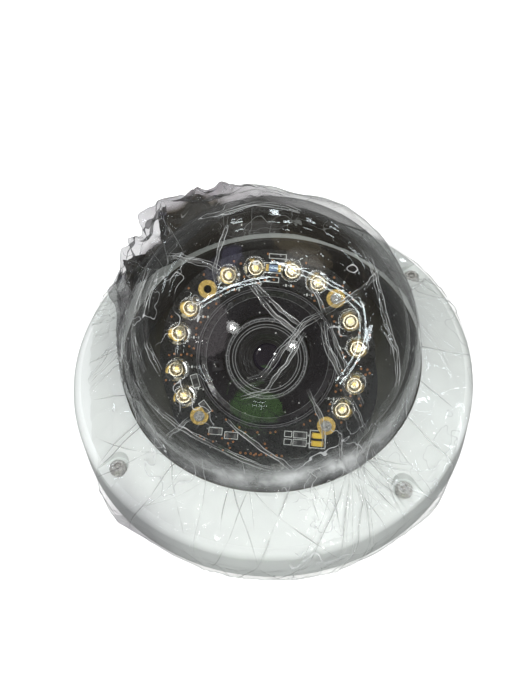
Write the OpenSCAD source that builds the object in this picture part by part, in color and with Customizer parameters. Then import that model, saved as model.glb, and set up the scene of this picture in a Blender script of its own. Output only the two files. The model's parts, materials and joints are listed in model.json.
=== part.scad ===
// Mini dome camera: base, pan and tilt yoke, rolling camera module, focusing lens and lift-off cover.
// Millimetres. +Z is up through the dome, the mounting face is z = 0, -Y is the side the lens looks to.

/* [Cover] */
// Diameter of the cover ring at its foot
cover_d = 110; // [104:1:118]
// Height of the cover ring's outer shoulder
shoulder_z = 13.3; // [12:0.1:16]
// Height of the cover ring's inner lip, where the bubble comes out
lip_z = 19.6; // [18:0.1:22]
// Wall thickness of the cover skirt
skirt_t = 2; // [1.6:0.1:2.6]
// Radius of the circle of cover screws
cover_screw_r = 50; // [49.8:0.1:50.2]
// Azimuth of the axis that the cover screws lie either side of
cover_axis_az = 81.6; // [0:0.1:180]
// Angle between a cover screw and that axis
cover_half_az = 47.8; // [42:0.1:48]

/* [Bubble] */
// Outer radius of the clear bubble
dome_r = 39; // [38.6:0.1:39]
// Wall thickness of the bubble
dome_t = 2.2; // [1.8:0.1:2.2]
// Height of the centre of the bubble's sphere
dome_z = 25.2; // [24:0.1:28]

/* [Base] */
// Thickness of the base floor
floor_t = 3; // [2.6:0.1:3.2]
// Radius of the circle of mounting holes
mount_r = 38; // [36:0.5:40]
// Diameter of a mounting hole
mount_hole_d = 4.6; // [4:0.1:5]
// Bore of the cable grommet
cable_d = 6; // [4:0.5:7]

/* [Aim at rest] */
// Height of the tilt axis
pivot_z = 22.6; // [22:0.1:24]
// Turn of the turntable from facing -Y
pan_rest = -5; // [-45:1:45]
// Lean of the optical axis from vertical
tilt_rest = 38; // [0:1:58]
// Turn of the module about its optical axis
roll_rest = -3.4; // [-90:0.1:90]

/* [LED board] */
// Front face of the board, measured from the tilt axis
board_w = 20.5; // [20:0.1:21]
// Outer radius of the board
board_r = 26.8; // [26:0.1:27]
// Radius of the board's central opening
board_hole_r = 17.9; // [17.6:0.1:18]
// Radius of the circle of LEDs and screws
led_circle_r = 22.5; // [22:0.1:22.6]
// Height of an LED above the board
led_h = 7.1; // [6:0.1:7.2]

/* [Lens] */
// Outer radius of the focus ring
focus_r = 10.3; // [10:0.1:10.3]
// Aperture radius of the front retainer
lens_stop_r = 3.6; // [3:0.1:4]

/* [Hidden] */
$fn = 96;
cover_r = cover_d / 2;
skirt_in = cover_r - skirt_t;
base_r = skirt_in - 0.4;
dome_ri = dome_r - dome_t;
lip_r = dome_r + 0.9;
slope = (lip_z - 0.15 - shoulder_z - 0.7) / 11.4;
foot_z = 0.6;
seat_z = 10.2;
led_half = 2.5;
led_angles = [for (c = [0, 90, 180]) for (d = [-29, -11.5, 11.5, 29]) c + d];
screw_angles = [45, 225, 315];

// ---------- helpers ----------

// A ring of rectangular section between two heights
module tube(ro, ri, z0, z1) {
    translate([0, 0, z0])
    difference() {
        cylinder(r = ro, h = z1 - z0);
        translate([0, 0, -1]) cylinder(r = ri, h = z1 - z0 + 2);
    }
}

// A disc between two heights
module disc(r, z0, z1) {
    translate([0, 0, z0]) cylinder(r = r, h = z1 - z0);
}

// A block centred in x and y between two heights
module block(sx, sy, z0, z1) {
    translate([-sx / 2, -sy / 2, z0]) cube([sx, sy, z1 - z0]);
}

// Copies at polar positions
module polar(r, angles) {
    for (a = angles) rotate([0, 0, a]) translate([r, 0, 0]) children();
}

// Frame of the turntable
module in_pan() {
    rotate([0, 0, pan_rest]) children();
}

// Frame of the tilting parts: origin on the tilt axis, +Z along the optical axis
module in_cradle() {
    in_pan() translate([0, 0, pivot_z]) rotate([tilt_rest, 0, 0]) children();
}

// Frame of the rolling module
module in_module() {
    in_cradle() rotate([0, 0, roll_rest]) children();
}

// Cross-recessed pan head screw: head on z = 0 upwards, shank downwards
module pan_screw(head_r, head_h, shank_r, shank_l) {
    difference() {
        union() {
            cylinder(r = head_r, h = head_h * 0.6);
            translate([0, 0, head_h * 0.6]) cylinder(r1 = head_r, r2 = head_r * 0.72, h = head_h * 0.4);
            translate([0, 0, -shank_l]) cylinder(r = shank_r, h = shank_l + 0.1);
        }
        translate([0, 0, head_h]) block(head_r * 1.1, head_r * 0.26, -head_h * 0.55, 1);
        translate([0, 0, head_h]) block(head_r * 0.26, head_r * 1.1, -head_h * 0.55, 1);
    }
}

four_cover = [for (c = [0, 180]) for (s = [-1, 1]) cover_axis_az + c + s * cover_half_az];
four_retainer = [for (k = [0:3]) cover_axis_az + 90 * k];

// ---------- base ----------

// Die-cast floor with mounting bosses, cable boss and pilot holes
module base_housing() {
    color([0.86, 0.88, 0.87])
    difference() {
        union() {
            disc(base_r, 0, floor_t);
            polar(mount_r, [45, 135, 225, 315]) disc(4.6, 0.5, 4.4);
            translate([0, 38, 0]) disc(7.4, 0.5, 4.2);
        }
        polar(26.8, [30, 150, 270]) disc(0.85, 1.6, 6);
        polar(mount_r, [45, 135, 225, 315]) disc(mount_hole_d / 2, -1, 5);
        translate([0, 38, 0]) disc(5.2, -1, 5);
    }
}

// Sealing wall with the O-ring groove
module base_wall() {
    color([0.86, 0.88, 0.87])
    difference() {
        tube(47.8, 45.6, floor_t, 9.6);
        tube(47.3, 46.1, 8.8, 11);
    }
}

// Posts that take the cover screws
module cover_posts() {
    color([0.86, 0.88, 0.87])
    difference() {
        polar(cover_screw_r, four_cover) disc(2.15, floor_t, 10.4);
        polar(cover_screw_r, four_cover) disc(1.3, 4, 11);
    }
}

// Ring that the turntable's clamp is screwed to
module pan_seat() {
    color([0.07, 0.07, 0.08])
    difference() {
        tube(29.2, 24.5, floor_t, 5.6);
        polar(26.8, [30, 150, 270]) disc(0.85, 2, 6);
    }
}

// Round-section seal lying in the groove of the base wall
module base_oring() {
    color([0.09, 0.09, 0.1])
    translate([0, 0, 9.4]) rotate_extrude() translate([46.7, 0]) circle(r = 0.6, $fn = 32);
}

// Rubber grommet in the cable hole
module cable_grommet() {
    color([0.1, 0.1, 0.1])
    translate([0, 38, 0])
    rotate_extrude()
    polygon([[cable_d / 2, 0.2], [5.15, 0.2], [5.15, 4.2], [6.6, 4.2], [6.6, 5.4],
             [4.2, 6.2], [cable_d / 2, 6.2]]);
}

// Spring washer that gives the pan joint its drag
module pan_washer() {
    color([0.7, 0.71, 0.73])
    tube(21, 16.5, floor_t, floor_t + 0.55);
}

// Ring that holds the turntable down
module pan_retainer() {
    color([0.07, 0.07, 0.08])
    difference() {
        tube(29.2, 22.6, 5.6, 7);
        polar(26.8, [30, 150, 270]) disc(1, 5, 8);
    }
}

// Three screws of the pan retainer
module pan_screws() {
    color([0.75, 0.76, 0.78])
    polar(26.8, [30, 150, 270]) translate([0, 0, 7]) pan_screw(1.7, 1, 0.8, 5);
}

// ---------- pan ----------

// One side arm of the yoke in the y-z plane
module arm_outline() {
    difference() {
        union() {
            polygon([[-7, 4.6], [7, 4.6], [4.9, pivot_z], [-4.9, pivot_z]]);
            translate([0, pivot_z]) circle(r = 5);
        }
        translate([0, pivot_z]) circle(r = 1.6);
    }
}

// Turntable and the two arms that carry the tilt axis
module pan_yoke() {
    color([0.06, 0.06, 0.07])
    in_pan()
    difference() {
        union() {
            disc(24.2, 3.6, 5.4);
            for (s = [-1, 1])
                translate([s * 19.1, 0, 0]) rotate([90, 0, 90])
                translate([0, 0, -1.2]) linear_extrude(height = 2.4) arm_outline();
            for (s = [-1, 1])
                translate([s * 17.2, 0, 0]) block(1.6, 9, 5, 7.4);
        }
        disc(8, 3, 6);
        polar(20.2, [60, 120, 240, 300]) disc(1.5, 3, 6);
    }
}

// ---------- tilt ----------

// Ring with trunnion bosses in which the module turns
module tilt_cradle() {
    color([0.07, 0.07, 0.08])
    in_cradle()
    difference() {
        union() {
            tube(16.9, 15.58, -3.5, 5.5);
            for (s = [-1, 1]) rotate([0, s * 90, 0]) disc(3.5, 15.9, 17.6);
        }
        cylinder(r = 15.58, h = 20, center = true);
        for (s = [-1, 1]) rotate([0, s * 90, 0]) disc(1.5, 14, 19);
    }
}

// Shoulder screws that are the tilt axis
module tilt_screws() {
    color([0.72, 0.73, 0.75])
    in_cradle()
    for (s = [-1, 1]) rotate([0, s * 90, 0]) translate([0, 0, 20.5]) pan_screw(2.8, 1.8, 1.5, 4.6);
}

// Friction washers between cradle and arms
module tilt_washers() {
    color([0.85, 0.84, 0.8])
    in_cradle()
    for (s = [-1, 1]) rotate([0, s * 90, 0]) tube(3.2, 1.5, 17.6, 17.8);
}

// ---------- camera module ----------

// Body of the module: barrel in the cradle, front flange and board posts
module module_housing() {
    color([0.05, 0.05, 0.055])
    in_module()
    difference() {
        union() {
            tube(15.5, 14.2, -3.7, 6);
            tube(16.8, 14.2, 5.7, 13.5);
            tube(23.2, 14.2, 13, 14.4);
            tube(14.5, 12.6, 2.4, 5);
            for (a = [0, 180]) rotate([0, 0, a]) translate([12.4, 0, 0]) disc(2.2, 2.4, 6.5);
            polar(led_circle_r, [45, 135, 225, 315]) disc(2.1, 13, board_w - 1.6);
        }
        for (a = [0, 180]) rotate([0, 0, a]) translate([11.6, 0, 0]) disc(0.85, 2, 6);
        polar(led_circle_r, [45, 135, 225, 315]) disc(1, 15, 20);
    }
}

// Cap over the back of the module, with spacers that hold the camera board
module rear_cap() {
    color([0.05, 0.05, 0.055])
    in_module()
    difference() {
        union() {
            disc(16.4, -4.6, -3.7);
            for (a = [0, 180]) rotate([0, 0, a]) translate([11.6, 0, 0]) disc(1.9, -4, 1);
        }
        for (a = [0, 180]) rotate([0, 0, a]) translate([11.6, 0, 0]) disc(0.95, -6, 2);
        for (a = [0, 180]) rotate([0, 0, a]) translate([11.6, 0, 0]) disc(1.75, -6, -3.4);
        translate([0, 6, 0]) disc(3.2, -6, -3);
    }
}

// Two screws that hold cap and camera board
module rear_screws() {
    color([0.72, 0.73, 0.75])
    in_module()
    for (a = [0, 180]) rotate([0, 0, a]) translate([11.6, 0, -3.4]) rotate([180, 0, 0])
        pan_screw(1.6, 1, 0.8, 8.6);
}

// Round circuit board with the image sensor
module camera_board() {
    color([0.03, 0.22, 0.1])
    in_module()
    difference() {
        disc(13.9, 1, 2.4);
        for (a = [0, 180]) rotate([0, 0, a]) translate([11.6, 0, 0]) disc(1, 0, 3);
    }
}

// Image sensor package
module image_sensor() {
    color([0.1, 0.1, 0.13])
    in_module() block(9, 7.6, 2.4, 3.6);
}

// Processor, memory and regulator on the back of the camera board
module board_chips() {
    color([0.04, 0.04, 0.045])
    in_module() {
        translate([-3.5, -4.5, 0]) block(7, 7, 0, 1);
        translate([5, -5, 0]) block(4, 5, 0.1, 1);
        translate([-5, 4.5, 0]) block(5, 4, 0.2, 1);
    }
}

// Shrouded header on the back of the camera board
module board_connector() {
    color([0.9, 0.88, 0.82])
    in_module()
    translate([3.4, 6, 0])
    difference() {
        block(9, 4.2, -2, 1);
        block(7.8, 3, -3, 0);
    }
}

// Threaded holder glued over the sensor
module lens_holder() {
    color([0.05, 0.05, 0.055])
    in_module()
    difference() {
        union() {
            block(14, 14, 2.4, 8);
            disc(8.2, 7.5, 12.6);
        }
        block(10.6, 10.6, 2, 5.4);
        block(8.8, 8.8, 5, 6);
        block(7, 7, 5.8, 7);
        disc(6.08, 6.5, 13);
    }
}

// Infrared cut filter in the holder
module ir_filter() {
    color([0.55, 0.75, 0.85, 0.6])
    in_module() block(8.7, 8.7, 5.45, 6);
}

// Annular board in front, with screw holes and LED lead holes
module led_board() {
    color([0.02, 0.025, 0.03])
    in_module()
    difference() {
        tube(board_r, board_hole_r, board_w - 1.6, board_w);
        polar(led_circle_r, [45, 135, 225, 315]) disc(1, 15, 25);
        polar(led_circle_r, led_angles) for (s = [-1, 1]) translate([0, s * 1.27, 0]) disc(0.42, 15, 25);
    }
}

// Twelve 5 mm infrared LEDs: flange, body and domed tip
module ir_leds() {
    color([0.9, 0.92, 0.95, 0.5])
    in_module()
    polar(led_circle_r, led_angles)
    translate([0, 0, board_w])
    rotate_extrude()
    union() {
        square([2.9, 1]);
        square([led_half, led_h - led_half]);
        intersection() {
            translate([0, led_h - led_half]) circle(r = led_half);
            square([led_half, led_h]);
        }
    }
}

// LED leads through the board, cut short at the back
module led_leads() {
    color([0.78, 0.78, 0.8])
    in_module()
    polar(led_circle_r, led_angles)
    for (s = [-1, 1]) translate([0, s * 1.27, 0]) block(0.5, 0.5, board_w - 3, board_w);
}

// Two small surface-mounted LEDs
module smd_leds() {
    color([0.95, 0.8, 0.25])
    in_module() {
        translate([14, -18.5, 0]) block(2.4, 1.3, board_w, board_w + 0.7);
        translate([14, -20.5, 0]) block(2.4, 1.3, board_w, board_w + 0.7);
    }
}

// Chip resistors beside the LEDs
module smd_resistors() {
    color([0.12, 0.12, 0.13])
    in_module() {
        translate([9.6, -18.7, 0]) block(2, 1.2, board_w, board_w + 0.5);
        translate([9.6, -20.7, 0]) block(2, 1.2, board_w, board_w + 0.5);
        translate([-11.6, -19.4, 0]) block(2, 1.2, board_w, board_w + 0.5);
        translate([-7.6, -20.2, 0]) block(2, 1.2, board_w, board_w + 0.5);
        translate([-17.5, -7.2, 0]) rotate([0, 0, 20]) block(1.2, 2, board_w, board_w + 0.5);
        translate([-14.6, -13.6, 0]) rotate([0, 0, 40]) block(1.2, 2, board_w, board_w + 0.5);
    }
}

// Light sensor at the top of the board
module light_sensor() {
    color([0.35, 0.42, 0.5])
    in_module() translate([0, 22.3, 0]) block(2.2, 1.6, board_w, board_w + 0.8);
}

// Two-pin header on the back of the LED board
module led_connector() {
    color([0.92, 0.9, 0.85])
    in_module()
    rotate([0, 0, -90])
    translate([21.6, 0, 0])
    difference() {
        block(4, 6, board_w - 5, board_w - 1.6);
        block(2.8, 4.8, board_w - 6, board_w - 2.4);
    }
}

// Three screws in the board's plated holes; the fourth hole is open
module board_screws() {
    color([0.78, 0.76, 0.7])
    in_module()
    polar(led_circle_r, screw_angles) translate([0, 0, board_w]) pan_screw(1.35, 1.1, 0.95, 5);
}

// Black dish between the board opening and the lens, with a small lug
module lens_shroud() {
    color([0.03, 0.03, 0.035])
    in_module()
    difference() {
        union() {
            rotate_extrude()
            polygon([[10.6, 14.4], [17.6, 14.4], [17.6, board_w + 0.9], [16.9, board_w + 0.9],
                     [16.5, board_w - 0.4], [15.3, board_w - 0.7], [15.2, board_w - 1.3],
                     [11.4, 16.2], [10.6, 16.0]]);
            rotate([0, 0, 194]) translate([12.6, 0, 0]) block(2.8, 2.8, 15, 19.2);
        }
        rotate([0, 0, 194]) translate([12.6, 0, 0]) disc(0.55, 16, 20);
    }
}

// ---------- lens ----------

// Knurled ring that drives the barrel
module focus_ring() {
    color([0.04, 0.04, 0.045])
    in_module()
    difference() {
        tube(focus_r, 9.1, 13.6, 22.8);
        for (k = [0:35]) rotate([0, 0, 10 * k]) translate([focus_r + 0.05, 0, 0]) block(0.4, 0.7, 17, 22);
        translate([0, 0, 22.3]) cylinder(r1 = 9.1, r2 = 9.7, h = 0.6);
    }
}

// Lens barrel: threaded tail and body
module lens_barrel() {
    color([0.03, 0.03, 0.035])
    in_module()
    rotate_extrude()
    polygon([[4.5, 7.2], [6, 7.2], [6, 13.2], [9, 13.2], [9, 22.2], [8.8, 22.4], [7.5, 22.4], [7.4, 22.3],
             [7.4, 19.4], [6.05, 19.4], [6.05, 16], [3.6, 16], [3.6, 9.6], [4.5, 9.6]]);
}

// Stepped retainer ring in front of the front lens
module lens_retainer() {
    color([0.05, 0.05, 0.055])
    in_module()
    rotate_extrude()
    polygon([[4.4, 19.5], [7.35, 19.5], [7.35, 22], [6.9, 22.1], [6.2, 22.1], [6.1, 21.6], [5.4, 21.4],
             [5.3, 21], [4.6, 20.8], [4.5, 20.4], [lens_stop_r + 0.1, 20.3], [lens_stop_r, 20]]);
}

// Front lens, convex to the front
module front_lens() {
    color([0.25, 0.2, 0.4, 0.6])
    in_module()
    rotate_extrude()
    intersection() {
        translate([0, 16]) square([6, 4]);
        translate([0, 9.7]) circle(r = 10);
    }
}

// Rear lens in the tail
module rear_lens() {
    color([0.5, 0.6, 0.7, 0.6])
    in_module()
    rotate_extrude()
    intersection() {
        translate([0, 7.6]) square([4.5, 2]);
        translate([0, 16]) circle(r = 8.9);
    }
}

// ---------- cover ----------

// Filled outline of the cover's outer surface
module cover_envelope() {
    union() {
        polygon([[0, foot_z], [cover_r, foot_z], [cover_r - 0.1, shoulder_z - 2.2],
                 [cover_r - 2.1, shoulder_z + 0.1], [lip_r + 1.3, lip_z - 0.15], [lip_r + 0.4, lip_z],
                 [0, lip_z]]);
        translate([cover_r - 2.6, shoulder_z - 2.2]) circle(r = 2.5);
    }
}

// White cover ring: skirt, sloping face, lip, screw pockets and inner bosses
module cover_ring() {
    color([0.87, 0.9, 0.89])
    difference() {
        union() {
            rotate_extrude()
            difference() {
                cover_envelope();
                polygon([[-1, -1], [skirt_in, -1], [skirt_in, shoulder_z - 2.4], [47, shoulder_z + 0.9],
                         [42.2, 16.3], [41.6, 15.2], [lip_r, 15.2], [lip_r, lip_z + 1], [-1, lip_z + 1]]);
            }
            tube(47.2, 46.2, seat_z, shoulder_z + 1.8);
            intersection() {
                polar(cover_screw_r, four_cover) disc(4.4, 10.6, 18);
                rotate_extrude() cover_envelope();
                tube(cover_r - 0.5, 46.2, 0, 30);
            }
            polar(43.4, four_retainer) disc(1.8, 12.6, 17);
        }
        polar(cover_screw_r, four_cover) disc(3.3, 12.6, 25);
        polar(cover_screw_r, four_cover) translate([0, -3.3, 12.6]) cube([12, 6.6, 12]);
        polar(cover_screw_r, four_cover) disc(1.4, 9, 20);
        polar(43.4, four_retainer) disc(0.9, 12, 15.8);
        rotate_extrude() translate([lip_r, lip_z]) circle(r = 0.3, $fn = 32);
    }
}

// Clear bubble: hemisphere, straight skirt and clamping flange
module dome_bubble() {
    color([0.8, 0.85, 0.9, 0.25])
    rotate_extrude()
    union() {
        intersection() {
            difference() {
                translate([0, dome_z]) circle(r = dome_r);
                translate([0, dome_z]) circle(r = dome_ri);
            }
            translate([0, dome_z]) square([dome_r, dome_r]);
        }
        translate([dome_ri, 12.6]) square([dome_t, dome_z - 12.6]);
        translate([dome_r - 0.5, 12.6]) square([2.8, 2]);
    }
}

// Rubber gasket between bubble and cover
module bubble_gasket() {
    color([0.04, 0.04, 0.045])
    rotate_extrude()
    polygon([[dome_r + 0.05, 14.6], [41.3, 14.6], [41.3, 15.2], [lip_r - 0.05, 15.2],
             [lip_r - 0.05, lip_z + 0.1], [dome_r + 0.05, lip_z + 0.4]]);
}

// Ring that clamps the bubble flange up against the gasket
module bubble_retainer() {
    color([0.06, 0.06, 0.065])
    difference() {
        tube(45.2, 37.2, 10.8, 12.6);
        polar(43.4, four_retainer) disc(1, 10, 13);
    }
}

// Four screws of the bubble retainer
module retainer_screws() {
    color([0.75, 0.76, 0.78])
    polar(43.4, four_retainer) translate([0, 0, 10.8]) rotate([180, 0, 0]) pan_screw(1.6, 1.1, 0.85, 4.8);
}

// Four captive tamper-proof cover screws: button head with six-sided socket and centre pin
module cover_screws() {
    color([0.72, 0.72, 0.71])
    polar(cover_screw_r, four_cover) translate([0, 0, 12.6]) {
        difference() {
            union() {
                cylinder(r = 2.25, h = 0.9);
                translate([0, 0, 0.9]) cylinder(r1 = 2.25, r2 = 1.5, h = 0.8);
            }
            translate([0, 0, 0.7]) cylinder(r = 1.15, h = 2, $fn = 6);
        }
        translate([0, 0, 0.6]) cylinder(r = 0.35, h = 0.9);
        translate([0, 0, -7.6]) cylinder(r = 1.25, h = 7.7);
    }
}

// Thin clear film drawn over bubble and cover, gathered behind the bubble
module protective_film() {
    color([0.9, 0.92, 0.95, 0.3])
    difference() {
        union() {
            rotate_extrude()
            union() {
                intersection() {
                    translate([0, dome_z]) circle(r = dome_r + 0.6);
                    translate([0, dome_z]) square([60, 60]);
                }
                polygon([[0, 22], [dome_r + 0.6, 22.9], [dome_r + 0.6, dome_z], [0, dome_z]]);
                polygon([[0, 3], [cover_r + 0.5, 3], [cover_r + 0.5, shoulder_z - 1.1],
                         [cover_r - 0.15, shoulder_z + 0.1], [cover_r - 1.55, shoulder_z + 1.15],
                         [44.3, 19.2], [dome_r + 0.6, 22.9], [0, 22.9]]);
            }
            rotate([0, 0, 127]) translate([41, 0, 25]) rotate([90, 0, 0]) {
                cylinder(r = 5, h = 24, center = true);
                for (s = [-1, 1]) translate([0, 0, 12 * s]) sphere(r = 5, $fn = 32);
            }
        }
        rotate_extrude()
        union() {
            intersection() {
                translate([0, dome_z]) circle(r = dome_r + 0.3);
                translate([0, dome_z]) square([60, 60]);
            }
            polygon([[0, 0], [dome_r + 0.3, 0], [dome_r + 0.3, dome_z], [0, dome_z]]);
            polygon([[0, -1], [cover_r + 0.2, -1], [cover_r + 0.2, shoulder_z - 1.2],
                     [cover_r - 0.4, shoulder_z - 0.1], [cover_r - 1.7, shoulder_z + 0.8],
                     [44.1, 18.8], [dome_r + 0.3, 22.6], [0, 22.6]]);
        }
    }
}

base_housing();
base_wall();
cover_posts();
pan_seat();
base_oring();
cable_grommet();
pan_washer();
pan_retainer();
pan_screws();
pan_yoke();
tilt_cradle();
tilt_screws();
tilt_washers();
module_housing();
rear_cap();
rear_screws();
camera_board();
image_sensor();
board_chips();
board_connector();
lens_holder();
ir_filter();
led_board();
ir_leds();
led_leads();
smd_leds();
smd_resistors();
light_sensor();
led_connector();
board_screws();
lens_shroud();
focus_ring();
lens_barrel();
lens_retainer();
front_lens();
rear_lens();
cover_ring();
dome_bubble();
bubble_gasket();
bubble_retainer();
retainer_screws();
cover_screws();
protective_film();
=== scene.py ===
import json
import math
import random

import bmesh
import bpy
import numpy as np
from mathutils import Matrix, Vector, noise


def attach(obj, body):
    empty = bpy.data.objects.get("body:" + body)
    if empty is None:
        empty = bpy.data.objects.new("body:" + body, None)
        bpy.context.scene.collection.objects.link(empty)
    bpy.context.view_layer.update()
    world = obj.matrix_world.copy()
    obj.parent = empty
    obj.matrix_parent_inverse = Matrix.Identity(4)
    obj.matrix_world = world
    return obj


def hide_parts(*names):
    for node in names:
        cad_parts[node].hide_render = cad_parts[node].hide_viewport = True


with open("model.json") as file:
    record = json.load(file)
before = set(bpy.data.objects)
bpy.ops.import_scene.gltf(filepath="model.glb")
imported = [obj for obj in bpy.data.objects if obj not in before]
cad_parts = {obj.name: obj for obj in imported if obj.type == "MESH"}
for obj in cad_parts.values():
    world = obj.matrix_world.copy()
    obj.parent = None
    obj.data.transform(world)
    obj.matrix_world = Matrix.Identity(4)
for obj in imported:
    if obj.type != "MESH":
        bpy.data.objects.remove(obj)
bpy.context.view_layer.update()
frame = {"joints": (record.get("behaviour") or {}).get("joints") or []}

MM = 0.001
scene = bpy.context.scene

# ---------------------------------------------------------------- camera

CAM_AIM = Vector((0.0, 0.0, 0.030))
CAM_DISTANCE = 0.2817
CAM_ELEVATION = 56.8
CAM_ROLL = -3.3
CAM_FOV = 36.0
SHIFT_RIGHT = 0.011
SHIFT_UP = 0.0223


def make_camera():
    cam = bpy.data.objects.new("camera", bpy.data.cameras.new("camera"))
    scene.collection.objects.link(cam)
    e, roll = math.radians(CAM_ELEVATION), math.radians(CAM_ROLL)
    back = Vector((0, -math.cos(e), math.sin(e)))
    right = Vector((1, 0, 0))
    up = back.cross(right)
    x = right * math.cos(roll) + up * math.sin(roll)
    y = -right * math.sin(roll) + up * math.cos(roll)
    turn = Matrix((x, y, back)).transposed().to_4x4()
    cam.matrix_world = Matrix.Translation(CAM_AIM + back * CAM_DISTANCE) @ turn
    cam.data.sensor_fit = "VERTICAL"
    cam.data.sensor_height = 36.0
    cam.data.lens = 18.0 / math.tan(math.radians(CAM_FOV / 2))
    cam.data.shift_x = -SHIFT_RIGHT
    cam.data.shift_y = -SHIFT_UP
    cam.data.clip_start = 0.005
    scene.camera = cam


make_camera()

# ---------------------------------------------------------------- frame of the moving parts


def joint(name):
    return next(j for j in frame["joints"] if j["name"] == name)


PIVOT = Vector(joint("tilt_turn")["pos_m"])
TILT_AXIS = Vector(joint("tilt_turn")["axis"]).normalized()
OPTIC = Vector(joint("roll_turn")["axis"]).normalized()
MODULE_ROLL = math.radians(-3.4)
_v0 = OPTIC.cross(TILT_AXIS)
MODULE = Matrix((TILT_AXIS, _v0, OPTIC)).transposed().to_4x4()
MODULE = Matrix.Translation(PIVOT) @ MODULE @ Matrix.Rotation(MODULE_ROLL, 4, "Z")

BOARD_W = 20.5
LED_CIRCLE = 22.5
LED_ANGLES = [c + d for c in (0, 90, 180) for d in (-29, -11.5, 11.5, 29)]
LAND_ANGLES = (45, 135, 225, 315)

# ---------------------------------------------------------------- materials


PAINTED_HIGHLIGHT_LOOPS = 0.7  # strength of the painted highlight loops drawn on the film
MIX_A, MIX_B, MIX_OUT = 6, 7, 2  # colour sockets of a Mix node
WALL_INNER_R, FACE_TOP_Z = 0.0459, 0.0012  # inside of the sealing wall, above the mounting face: bounds of the painted shade in the base
LIP_EDGE_R, LIP_BORE_R, LIP_BORE_Z = 0.0403, 0.0461, 0.0194  # where the cover ring meets the bubble: bounds of the painted shade on the ring


class Mat:
    """A node material with a Principled shader, and short ways to add to it."""

    def __init__(self, name, color, rough, metal=0.0, **sockets):
        self.m = bpy.data.materials.new(name)
        self.m.use_nodes = True
        self.t = self.m.node_tree
        self.n, self.l = self.t.nodes, self.t.links
        self.out = self.n["Material Output"]
        self.b = self.n["Principled BSDF"]
        self.set(self.b, "Base Color", (*color, 1))
        self.set(self.b, "Roughness", rough)
        self.set(self.b, "Metallic", metal)
        for k, v in sockets.items():
            self.set(self.b, k.replace("_", " "), v)
        self.coord = self.n.new("ShaderNodeTexCoord")

    def set(self, node, socket, value):
        node.inputs[socket].default_value = value

    def link(self, a, b):
        self.l.new(a, b)

    def shader(self, kind, color):
        """Another surface shader of this material, with its colour set."""
        s = self.n.new("ShaderNodeBsdf" + kind)
        self.set(s, "Color", (*color, 1))
        return s

    def mix_shader(self, fac, a, b):
        mix = self.n.new("ShaderNodeMixShader")
        for socket, source in zip(mix.inputs, (fac, a, b)):
            self.link(source, socket)
        return mix.outputs["Shader"]

    def mix_color(self, fac, a, b):
        """a where fac is 0, b where it is 1; a may be a plain colour."""
        mix = self.n.new("ShaderNodeMix")
        mix.data_type = "RGBA"
        self.link(fac, mix.inputs["Factor"])
        if isinstance(a, tuple):
            self.set(mix, MIX_A, (*a, 1))
        else:
            self.link(a, mix.inputs[MIX_A])
        self.link(b, mix.inputs[MIX_B])
        return mix.outputs[MIX_OUT]

    def surface(self, shader):
        self.link(shader, self.out.inputs["Surface"])

    def attribute(self, name):
        """A value stored at the mesh's points."""
        t = self.n.new("ShaderNodeAttribute")
        t.attribute_name = name
        return t.outputs["Fac"]

    def backfacing(self):
        return self.n.new("ShaderNodeNewGeometry").outputs["Backfacing"]

    def noise(self, scale, detail=3.0, rough=0.5, stretch=None):
        t = self.n.new("ShaderNodeTexNoise")
        self.set(t, "Scale", scale)
        self.set(t, "Detail", detail)
        self.set(t, "Roughness", rough)
        src = self.coord.outputs["Object"]
        if stretch:
            m = self.n.new("ShaderNodeMapping")
            m.inputs["Scale"].default_value = stretch
            self.link(src, m.inputs["Vector"])
            src = m.outputs["Vector"]
        self.link(src, t.inputs["Vector"])
        return t.outputs["Fac"]

    def voronoi(self, scale, feature="F1"):
        t = self.n.new("ShaderNodeTexVoronoi")
        t.feature = feature
        self.set(t, "Scale", scale)
        self.set(t, "Randomness", 1.0)
        self.link(self.coord.outputs["Object"], t.inputs["Vector"])
        return t.outputs["Distance"]

    def ramp(self, fac, stops):
        r = self.n.new("ShaderNodeValToRGB")
        e = r.color_ramp.elements
        while len(e) < len(stops):
            e.new(0.5)
        for el, (pos, col) in zip(e, stops):
            el.position = pos
            el.color = (*col, 1)
        self.link(fac, r.inputs["Fac"])
        return r.outputs["Color"]

    def range(self, fac, lo, hi, a=0.0, b=1.0):
        r = self.n.new("ShaderNodeMapRange")
        self.set(r, "From Min", a)
        self.set(r, "From Max", b)
        self.set(r, "To Min", lo)
        self.set(r, "To Max", hi)
        self.link(fac, r.inputs["Value"])
        return r.outputs["Result"]

    def math(self, op, a, b=None):
        m = self.n.new("ShaderNodeMath")
        m.operation = op
        for i, v in enumerate((a, b)):
            if v is None:
                continue
            if isinstance(v, (int, float)):
                m.inputs[i].default_value = v
            else:
                self.link(v, m.inputs[i])
        return m.outputs["Value"]

    def xyz(self, vector):
        sep = self.n.new("ShaderNodeSeparateXYZ")
        self.link(vector, sep.inputs["Vector"])
        return list(sep.outputs)

    def length(self, x, y):
        return self.math("SQRT", self.math("ADD", self.math("MULTIPLY", x, x), self.math("MULTIPLY", y, y)))

    def thin_fresnel(self, ior):
        """Fresnel factor of a thin sheet, the same from both of its sides."""
        fr = self.n.new("ShaderNodeFresnel")
        self.link(self.range(self.backfacing(), ior, 1 / ior), fr.inputs["IOR"])
        return fr

    def color_from(self, fac, lo, hi, a=0.3, b=0.7):
        self.link(self.ramp(fac, [(a, lo), (b, hi)]), self.b.inputs["Base Color"])

    def rough_from(self, fac, lo, hi, a=0.3, b=0.7):
        self.link(self.range(fac, lo, hi, a, b), self.b.inputs["Roughness"])

    def bumps(self, layers):
        """Normal bent by layers of (height, strength, distance), one on another."""
        normal = None
        for height, strength, distance in layers:
            bm = self.n.new("ShaderNodeBump")
            self.set(bm, "Strength", strength)
            self.set(bm, "Distance", distance)
            self.link(height, bm.inputs["Height"])
            if normal is not None:
                self.link(normal, bm.inputs["Normal"])
            normal = bm.outputs["Normal"]
        return normal

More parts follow.
